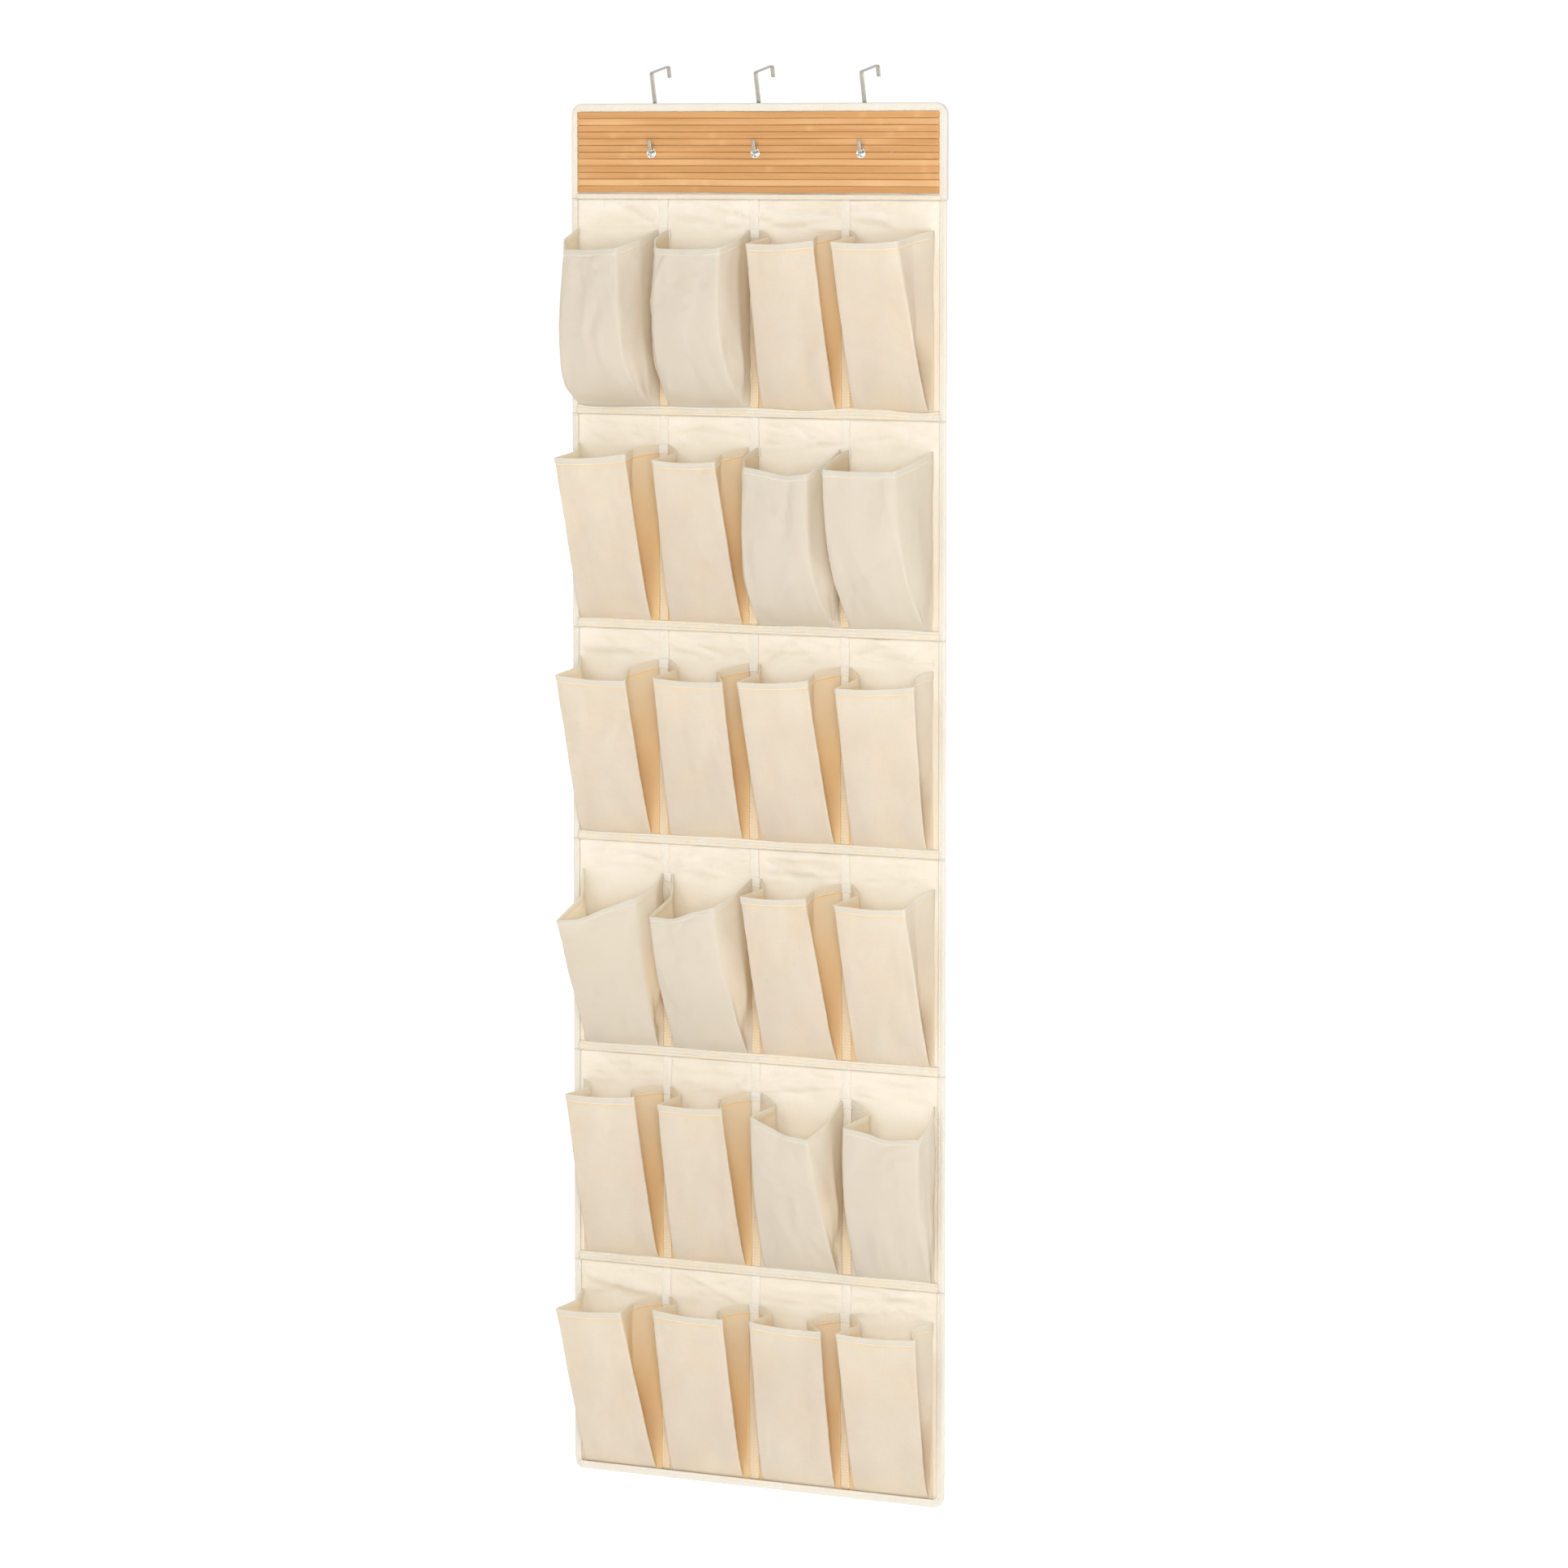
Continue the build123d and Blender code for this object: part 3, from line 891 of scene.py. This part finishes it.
def blurred(grid, passes):
    """Rounds a pocket's vertical folds off, keeping its seams in place."""
    grid = grid.copy()
    for _ in range(passes):
        grid[:, 1:-1] = 0.25 * grid[:, :-2] + 0.5 * grid[:, 1:-1] + 0.25 * grid[:, 2:]
    return grid


def eased(count):
    """Shares from 0 to just under 1, closer together towards both ends."""
    share = np.arange(count) / count
    return 0.7 * (0.5 - 0.5 * np.cos(np.pi * share)) + 0.3 * share


def front_edge(pocket, wander, heights, t, side):
    """One of the two folds between a pocket's front and its gussets."""
    full, k, foot_depth = pocket.full, int(side > 0), 2.3
    swell = (1 - full) * t**0.86 + full * (1 - (1 - t) ** pocket.foot) * (1 + 0.1 * np.sin(np.pi * t))
    x = side * FRONT_W / 2 + wander * (1 - 0.6 * t) + pocket.shift[k] * t**1.2
    y = -(foot_depth + (pocket.depth[k] - foot_depth) * swell)
    rise = (ROW_H - TAPE_H - pocket.drop[k]) / POCKET_H
    return np.concatenate([x, y, heights[:, None] * (1 + (rise - 1) * t)], axis=1)


def pleat_line(pocket, t, seam, edge, side):
    """The fold down the middle of a gusset, turned inward or out as far as its width allows."""
    chord = edge[:, :2] - seam[:, :2]
    span = np.linalg.norm(chord, axis=1, keepdims=True)
    inward = np.stack([-chord[:, 1], chord[:, 0]], axis=1) / np.maximum(span, 1e-6)
    inward = np.where(np.sign(inward[:, :1]) == -side, inward, -inward)
    fold = np.sqrt(np.maximum((GUSSET_W / 2) ** 2 - (span / 2) ** 2, 6.0))
    settled, full = pocket.pleat[side > 0], pocket.full
    at_foot = 1.0 if settled > 0 else max(0.0, 0.5 - 0.6 * full)
    turned = at_foot + (settled - at_foot) * smooth((t - 0.06 + 0.05 * full) / (0.5 - 0.25 * full))
    line = (seam + edge) / 2
    line[:, :2] += inward * fold * turned
    return line


def folded_cloth(pocket, wander, heights, t):
    """The pocket's five faces between its fold lines, and its cloth coordinate u across them."""
    keys = {}
    for side in (-1, 1):
        x = side * POCKET_BACK_W / 2 + 0.55 * wander + 0 * t
        seam = np.concatenate([x, -0.8 + 0 * t, heights[:, None]], axis=1)
        edge = front_edge(pocket, wander, heights, t, side)
        keys[side] = [seam, pleat_line(pocket, t, seam, edge, side), edge]
    lines = keys[-1] + keys[1][::-1]
    pleats = [(GUSSET_CELLS, GUSSET_W / 2)] * 2
    stretches, run, reached = [], [], 0.0
    for number, (count, length) in enumerate(pleats + [(FRONT_CELLS, FRONT_W)] + pleats):
        a, b = lines[number][:, None], lines[number + 1][:, None]
        share = eased(count)
        run.append(reached + share * length)
        reached += length
        share = share[None, :, None]
        stretch = a * (1 - share) + b * share
        if number in (0, 4):  # the cloth leaves its seam flat along the sheet
            bow = (share * (1 - share))[..., 0] * smooth(t / 0.3)
            stretch[..., 1] -= 0.24 * bow * (a + b)[..., 1]
            stretch[..., 2] += 5.0 * bow * t**3
        stretches.append(stretch)
    u = np.concatenate(run + [[reached]])[None, :] + 0 * t
    return np.concatenate(stretches + [lines[-1][:, None]], axis=1), u


def across_front(u):
    """0 at a pocket's left front fold and before it, 1 at the right one and after it."""
    return np.clip((u - GUSSET_W) / FRONT_W, 0, 1)


def relaxed(grid, pocket, u, v, t):
    """The folded cloth with its front's belly and sag, and looser folds where it bulges."""
    grid = grid.copy()
    across = across_front(u)
    on_front = np.sin(np.pi * across)
    belly = np.sqrt(on_front) * (0.25 + 0.75 * np.sin(np.pi * t) ** 0.8) * (t * (1 - 0.25 * t)) ** 0.3
    grid[..., 1] -= pocket.belly * belly
    dip = bell(across - pocket.dip_at, 0.24) * on_front
    grid[..., 2] -= (2.2 * on_front * (1 - 0.5 * pocket.full) + pocket.dip * dip) * t**5
    grid[..., 1] += 0.22 * pocket.dip * dip * t**4
    grid[..., 1] *= 0.38 + 0.62 * smooth((v - 0.5) / 5)
    loose = np.clip(0.3 - 0.35 * np.array(pocket.pleat), 0, 0.42)
    loose = loose[0] + (loose[1] - loose[0]) * smooth(u / u.max())
    share = (loose * smooth(t / 0.75))[..., None]
    return blurred(grid, 1) * (1 - share) + blurred(grid, 14) * share


def pocket_folds(pocket, u, v, seed):
    """How far packing folds and creases lift a pocket's cloth."""
    full = pocket.full
    in_gusset = np.minimum(u, u.max() - u)
    fold_near = np.minimum(np.abs(in_gusset - GUSSET_W / 2), np.abs(in_gusset - GUSSET_W))
    calm = smooth((v - 2) / 22) * (1 - 0.75 * smooth((v - POCKET_H + 14) / 8))
    calm = calm * (0.3 + 0.7 * smooth(fold_near / 9))
    front = (GUSSET_W, GUSSET_W + FRONT_W)
    folds = 0.55 * ripple(u, v * 0.55, 46, seed) + 0.22 * ripple(u, v, 17, seed + 1)
    folds = folds + (1.0 + 1.3 * full) * random_creases(v, u, seed + 2, 9, (0, POCKET_H) + front, 4.2, 0.35)
    folds = folds + 0.6 * random_creases(u, v, seed + 3, 8, front + (8, POCKET_H), 2.2, 0.5)
    packed_at = POCKET_H * (0.42 + 0.2 * random.Random(seed).random()) + 2 * ripple(u, 0 * v, 90, seed + 6)
    folds = folds - 0.45 * bell(v - packed_at, 1.6) * (1 - 0.6 * full)
    folds = folds + (0.7 + 0.9 * full) * ripple(u, v * 0.16, 21, seed + 4) * np.exp(-v / 34)
    return folds * calm


def pocket_surface(row, column, seed):
    """A pocket's middle surface, its cloth coordinates u and v, and how far its folds lift it."""
    pocket = POCKETS[row][column]
    low = np.linspace(-4.0, POCKET_H - MOUTH_ROWS[0] - 3.5, 44)
    heights = np.concatenate([low, POCKET_H - np.array(MOUTH_ROWS)])
    t = np.clip(heights / POCKET_H, 0, 1)[:, None]
    grid, u = folded_cloth(pocket, WANDER[row][column], heights, t)
    v = heights[:, None] + 0 * u
    grid = relaxed(grid, pocket, u, v, t)
    folds = pocket_folds(pocket, u, v, seed)
    grid = grid + normals_of(grid) * folds[..., None]
    grid[..., 1] -= 0.5 * ripple(u, 0 * v, 30, seed + 5) * t**3 * np.sin(np.pi * across_front(u))
    grid[..., 1] = np.minimum(grid[..., 1], -0.75)
    grid[..., 0] += column_x(column)
    grid[..., 2] += ROW_TOPS[row] - ROW_H + TAPE_H
    return grid, u, v, folds


def pocket_shades(pocket, column, seed, u, v, folds, hem):
    """Painted shades of a pocket's outer and inner face: warm glow in its gussets, cool shade where it is
    filled.
    """
    t, below = np.clip(v / POCKET_H, 0, 1), POCKET_H - v
    order = np.arange(u.shape[1])
    from_side = np.minimum(order, order[::-1])
    gusset = smooth((2 * GUSSET_CELLS + 0.5 - from_side) / 2.0) + 0 * t
    # Painted glow and shade deep in the gussets, most low down, less in the hem and on a filled pocket.
    deep = gusset * (0.69 - 0.36 * smooth((t - 0.4) / 0.5)) * (1 - 0.45 * hem) * (1 - 0.9 * pocket.full)
    # The outermost gussets get less of it, and some painted shade higher up.
    outermost = {0: u < GUSSET_W, COLUMNS - 1: u > GUSSET_W}.get(column, np.zeros_like(u, bool))
    deep = np.where(outermost, 0.3 * deep - 0.25 * gusset * t, deep)
    # Painted shade near the front's foot and along its folds.
    low_front_shade = (0.16 * np.exp(-v / 16) - 0.03 * np.clip(folds, -1.2, 1.2)) * (1 - gusset)
    # Random tone, and painted shade over a filled pocket.
    tone = 0.02 * ripple(u, v, 70, seed + 8) - (0.4 + 0.5 * pocket.full) * (pocket.full > 0)
    # A painted shadow line under the hem, and painted shade over the doubled hem.
    line_shade = 0.5 * bell(below - HEM_H - 0.7, 0.8)
    hem_shade = -0.6 * hem * smooth(below / 1.2 - 0.3) * (1 - 0.85 * gusset)
    outside = np.clip(deep + low_front_shade + tone * (1 - 0.5 * gusset) + line_shade + hem_shade, -1, 1)
    # The inner face: painted shade inside the pocket, less towards the mouth.
    return outside, 0.34 - 0.2 * smooth((t - 0.75) / 0.25) + 0.5 * hem_shade + line_shade


def pocket_piece(row, column, lines):
    """One pocket as a closed piece of cloth, and its hem stitching added to lines."""
    seed = 100 + 10 * (row * COLUMNS + column)
    grid, u, v, folds = pocket_surface(row, column, seed)
    below = POCKET_H - v
    hem = smooth((HEM_H - below) / 0.7)
    thickness = CLOTH_T * (0.75 + 0.25 * smooth(v / 20)) + 0.95 * hem * smooth(below / 0.45 + 0.25)
    thickness -= 0.75 * hem * bell(below - STITCH_BELOW_MOUTH, 0.55)
    thickness += 0.12 * hem * ripple(u, below, 7, seed + 7) * smooth(below / 3)
    front, back = thick(grid, np.maximum(thickness, 0.45))
    shades = pocket_shades(POCKETS[row][column], column, seed, u, v, folds, hem)
    node = f"row{row + 1}_pocket{column + 1}"
    uv = grid_of(u + 173.0 * column, v + 311.0 * row)
    obj = cloth(f"{node}_cloth", front, back, POCKET_CLOTH, uv, *shades)
    fixed(obj, f"row{row + 1}", "pocket_canvas", node)
    line = MOUTH_ROWS.index(STITCH_BELOW_MOUTH) - len(MOUTH_ROWS)
    lines.append((front[line, 2:-2], normals_of(front)[line, 2:-2]))


# ---- rows
def seam_x(row, column, side):
    """Where a pocket is sewn to the sheet, on its left if side is -1 and on its right if it is 1."""
    return column_x(column) + side * POCKET_BACK_W / 2 + 0.55 * WANDER[row][column]


def upright_x(row, index):
    """Where the upright tape between two columns runs, at the foot of a row."""
    return (seam_x(row, index - 1, 1) + seam_x(row, index, -1)) / 2


def from_uprights(x, row):
    """Distance to the nearest upright tape."""
    return np.min([np.abs(x - upright_x(row, index)) for index in range(1, COLUMNS)], axis=0)


def gap_shade(x, z, row):
    """Painted shade of the sheet by how deep between pockets a point lies: 0 above the mouths, most low in a
    gap.
    """
    near = smooth(1 - from_uprights(x, row) / 30)
    margin = 0.22 * smooth(1 - (HALF_W - BINDING_W - np.abs(x)) / 30)
    low = smooth((ROW_TOPS[row] - ROW_H + 120 - z) / 90)
    below_mouth = smooth((ROW_TOPS[row] - 36 - z) / 50)
    return below_mouth * (0.2 + (0.33 + 0.22 * low) * np.maximum(near, margin))


def sheet_piece(row, lines):
    """One row's length of the canvas sheet, with the packing creases above its pockets."""
    z_top, z_bottom = ROW_TOPS[row], ROW_TOPS[row] - ROW_H
    last = row == ROWS - 1
    edge_x, edge_z = HALF_W - SHEET_INSET, z_bottom + (SHEET_INSET if last else 0.0)
    x, z = plane(edge_x, edge_z, z_top, 150, 84)
    seed = 900 + 20 * row
    crumpled = (-225, 225, z_top - 36, z_top - 4)
    hidden = (-220, 220, z_bottom + 12, z_top - 40)
    packed = bell(z - (z_top - 31 - 2.5 * ripple(x, 0 * x, 150, seed + 6)), 1.1)
    lift = 0.6 * ripple(x, z * 1.6, 48, seed)
    lift = lift + 2.2 * random_creases(x, z, seed + 1, 24, crumpled, 2.6, 0.3)
    lift = lift + 1.2 * random_creases(x, z, seed + 2, 26, crumpled, 1.5, 0.9)
    lift = lift + 0.8 * packed
    everywhere = 0.35 * ripple(x, z, 90, seed + 3)
    everywhere = everywhere + 0.6 * random_creases(x, z, seed + 4, 12, hidden, 3.0, 0.5)
    band = smooth((z - z_top + 40) / 14)
    tape_fade = 0.25 + 0.75 * smooth((from_uprights(x, row) - 5) / 9)
    top_fade = smooth((z_top - z) / 5)
    fade = top_fade * smooth((HALF_W - BINDING_W - np.abs(x)) / 12) * smooth((z - z_bottom) / 16)
    y = 0.7 + (lift * band * tape_fade + 0.4 * everywhere * (1 - 0.6 * band)) * fade
    middle = grid_of(x, y, z)
    if last:
        round_corners(middle, edge_x, edge_z, CORNER_R - SHEET_INSET, -1)
    front, back = thick(middle, 0.9)
    # Painted shade in crease valleys and along the packing fold, painted shade deep between pockets, and
    # darker on lower rows near each row's top.
    valley_shade = (0.22 * np.clip(lift / 1.6, -0.6, 1.2) + 0.3 * packed) * band * top_fade * tape_fade
    shade = gap_shade(x, z, row) + 0.7 * valley_shade - 0.1 * row * band
    shade = np.clip(shade + 0.04 * ripple(x, z, 60, seed + 5) - 0.04, -0.3, 1)
    uv = grid_of(x + 7.0 * row, z + 3.0)
    obj = cloth(f"row{row + 1}_canvas", front, back, SHEET_CLOTH, uv, shade, 0.04)
    blended(obj, row, "canvas", f"row{row + 1}_sheet")
    for inset in (2.4, 7.6):  # the row seam's stitching, seen from behind
        level = int(np.argmin(np.abs(z[:, 0] - (edge_z + inset))))
        lines.append((back[level, 4:-4], -FORWARD))


def row_tape(row, lines):
    """The gathered, double-stitched strip over the feet of a row of pockets."""
    low, high = ROW_TOPS[row] - ROW_H, ROW_TOPS[row] - ROW_H + TAPE_H
    edge_x = HALF_W - BINDING_W + 0.8
    xs = np.linspace(-edge_x, edge_x, 260)
    s = np.array([0, 0.04, 0.1, 0.16, 0.2, 0.24, 0.3, 0.4, 0.5, 0.6, 0.7, 0.76, 0.8, 0.84, 0.9, 0.96, 1.0])
    x, share = np.meshgrid(xs, s)
    wave = (0.45 if row else 1.1) * ripple(xs, 0 * xs, 120, 300 + row) * smooth((edge_x - np.abs(xs)) / 20)
    z = low + share * (high - low) + wave * (0.3 + 0.7 * share) * smooth(share / 0.2)
    y = puffed(x, share, share, 2.9, (0.2, 0.8), 330 + 2 * row, 0.085)
    # Painted shade in the stitched grooves.
    grooves = bell(share - 0.2, 0.05) + bell(share - 0.8, 0.05)
    shade = 0.02 + 0.07 * ripple(x, z * 2, 30, 350 + row) + 0.45 * grooves
    name, uv = f"row{row + 1}_gathered_tape", grid_of(x, share * 14)
    obj, front = strip(name, x, y, z, 0.15, TAPE_CLOTH, uv, shade)
    fixed(obj, f"row{row + 1}", "binding_tape", f"row{row + 1}_tape")
    lines.extend((front[level], FORWARD) for level in (4, 12))


def bottom_binding(row, lines):
    """The last row has a folded tape right round its sides and bottom edge."""
    path, outward = path_round_end(ROW_TOPS[row], ROW_TOPS[row] - ROW_H)
    swell = 2.3 * smooth((-outward[:, 1] - 0.3) / 0.7)
    obj, more = binding(f"row{row + 1}_edge_binding", path, outward, SHEET_T, 60 + row, 8.8, swell)
    blended(obj, row, "binding_tape", f"row{row + 1}_binding", f"row{row + 1}_tape")
    lines.extend(more)


def side_bindings(row, lines):
    """A folded tape down each side of a row, except the last one."""
    for side, word in ((-1, "left"), (1, "right")):
        ends = (side * HALF_W, ROW_TOPS[row] - ROW_H), (side * HALF_W, ROW_TOPS[row])
        path, outward = straight(*ends, (side, 0))
        if side > 0:
            path, outward = path[::-1], outward[::-1]
        name = f"row{row + 1}_{word}_edge_binding"
        obj, more = binding(name, path, outward, SHEET_T, 60 + row + 7 * (side + 1))
        blended(obj, row, "binding_tape", f"row{row + 1}_binding")
        lines.extend(more)


def uprights(row, lines):
    """Flat tapes between the columns, stitched along both edges, each its own piece."""
    z_top, z_bottom = ROW_TOPS[row], ROW_TOPS[row] - ROW_H + TAPE_H
    s = np.array([0, 0.05, 0.11, 0.16, 0.21, 0.32, 0.5, 0.68, 0.79, 0.84, 0.89, 0.95, 1.0])
    share, z = np.meshgrid(s, np.linspace(z_bottom - 1.5, z_top, 90))
    for index in range(1, COLUMNS):
        foot = upright_x(row, index)
        top = upright_x(row - 1, index) if row else foot
        seed = 500 + 9 * row + index
        x = foot + (top - foot) * smooth((z - z_bottom) / ROW_H) * 0.8 + (share - 0.5) * UPRIGHT_W
        x = x + 0.35 * ripple(z, 0 * z, 60, seed)
        groove = bell(share - 0.16, 0.05) + bell(share - 0.84, 0.05)
        pucker = 0.16 * ripple(z, x * 0.4, 9, seed + 20)
        y = -(0.62 + 0.16 * np.sqrt(np.clip(np.sin(np.pi * share), 0, 1)) - 0.3 * groove + pucker)
        # Painted shade deep between the pockets and in the stitched grooves.
        shade = gap_shade(x, z, row) * 0.95 - 0.04 + 0.24 * groove
        name = f"row{row + 1}_upright_tape{index}"
        obj, front = strip(name, x, y, z, 0.2, UPRIGHT_CLOTH, grid_of(x, z), shade)
        blended(obj, row, "binding_tape", f"row{row + 1}_uprights")
        lines.extend((front[:, edge], FORWARD) for edge in (3, 9))


def hem_bridge(row, index):
    """The pockets' hem where it runs on across an upright, from one gusset to the next."""
    foot = upright_x(row, index)
    left, right = seam_x(row, index - 1, 1) - 2.5, seam_x(row, index, -1) + 2.5
    down = (HEM_H + 0.6, HEM_H, 8.8, STITCH_BELOW_MOUTH, 7.7, 5.0, 2.0, 0.6, 0.0)
    x, below = np.meshgrid(np.linspace(left, right, 15), down)
    arch = 1 - ((x - foot) / (right - left) * 2) ** 2
    z = ROW_TOPS[row] - ROW_H + TAPE_H + POCKET_H - below + 1.3 * arch
    groove = bell(below - STITCH_BELOW_MOUTH, 0.55)
    y = -(1.35 + 0.7 * arch - 0.45 * groove - 0.35 * np.exp(-below / 0.5))
    # Painted shade in the stitched groove, on a tint a little toward the cloth's below-zero shade tint.
    name, shade = f"row{row + 1}_hem_bridge{index}", 0.15 * groove - 0.1
    obj, _ = strip(name, x, y, z, -0.2, UPRIGHT_CLOTH, grid_of(x, below), shade)
    fixed(obj, f"row{row + 1}", "pocket_canvas")
    return obj


def make_row(row):
    fixed_lines, bending_lines = [], []
    sheet_piece(row, bending_lines)
    uprights(row, bending_lines)
    if row == ROWS - 1:
        bottom_binding(row, bending_lines)
    else:
        side_bindings(row, bending_lines)
        row_tape(row, fixed_lines)
    for column in range(COLUMNS):
        bridge = [hem_bridge(row, column)] if column else []
        pocket_piece(row, column, fixed_lines)
    fixed(stitches(f"row{row + 1}_pocket_thread", fixed_lines), f"row{row + 1}", "binding_tape")
    blended(stitches(f"row{row + 1}_seam_thread", bending_lines), row, "binding_tape")


# ---- camera, light and room
def camera():
    """From eyelet height, 7.75 m away and about 31 degrees round to the right."""
    yaw, pitch = math.radians(30.7), math.radians(-5.2)
    distance = 7.75
    right = Vector((math.cos(yaw), math.sin(yaw), 0))
    level = Vector((-math.sin(yaw), math.cos(yaw), 0))
    aim = Vector(placed((0, 0, -50.0))) + right * 0.0307
    data = bpy.data.cameras.new("camera")
    data.lens, data.sensor_width = 160.3, 36.0
    data.clip_end = 60
    cam = bpy.data.objects.new("camera", data)
    cam.location = aim - level * distance
    cam.rotation_euler = (math.radians(90) + pitch, 0, yaw)
    bpy.context.collection.objects.link(cam)
    bpy.context.scene.camera = cam


def soft_light(name, offset, watts):
    """A disc of light, offset in metres from the middle of the organizer and facing it."""
    middle = placed((0, 0, -780))
    data = bpy.data.lights.new(name, "AREA")
    data.shape, data.size, data.energy, data.color = "DISK", 1.8, watts, (1.0, 0.985, 0.96)
    light = bpy.data.objects.new(name, data)
    light.location = middle + np.array(offset)
    light.rotation_euler = (-Vector(offset)).to_track_quat("-Z", "Y").to_euler()
    bpy.context.collection.objects.link(light)


def studio():
    """A white room, a little dimmer behind the camera so that metal has something to show."""
    world = Nodes(bpy.data.worlds.new("studio"), "OutputWorld")
    depth = world.add("SeparateXYZ", world.add("TexCoord").outputs["Generated"]).outputs[1]
    walls = world.mix(world.ramp(depth, -0.75, -0.15), (0.56, 0.555, 0.55), (1.02, 1.02, 1.02))
    bpy.context.scene.world = world.finish(world.add("Background", walls, 1.0).outputs[0])
    soft_light("key", (-0.9, -3.4, 2.6), 30)
    soft_light("fill", (2.3, -3.9, 0.5), 104)

    m = material_nodes("floor")
    tint = m.noise(m.add("TexCoord").outputs["Object"], 0.6, 2.0)
    colour = m.mix(m.times(tint, 0.1), (0.95, 0.95, 0.945), (0.9, 0.9, 0.9))
    glow = {"Emission_Color": (1, 1, 1), "Emission_Strength": 0.3}
    shader = m.add("BsdfPrincipled", Base_Color=colour, Roughness=0.9, **glow)
    mesh = bpy.data.meshes.new("floor")
    z = placed((0, 0, -HEADER_H - ROWS * ROW_H - 300))[2]
    mesh.from_pydata([(-30, -12, z), (30, -12, z), (30, 40, z), (-30, 40, z)], [], [(0, 1, 2, 3)])
    mesh.materials.append(m.finish(shader.outputs[0]))
    obj = bpy.data.objects.new("floor", mesh)
    bpy.context.collection.objects.link(obj)
    bpy.context.scene.view_settings.view_transform = "Standard"


camera()
header()
for row_index in range(ROWS):
    make_row(row_index)
studio()
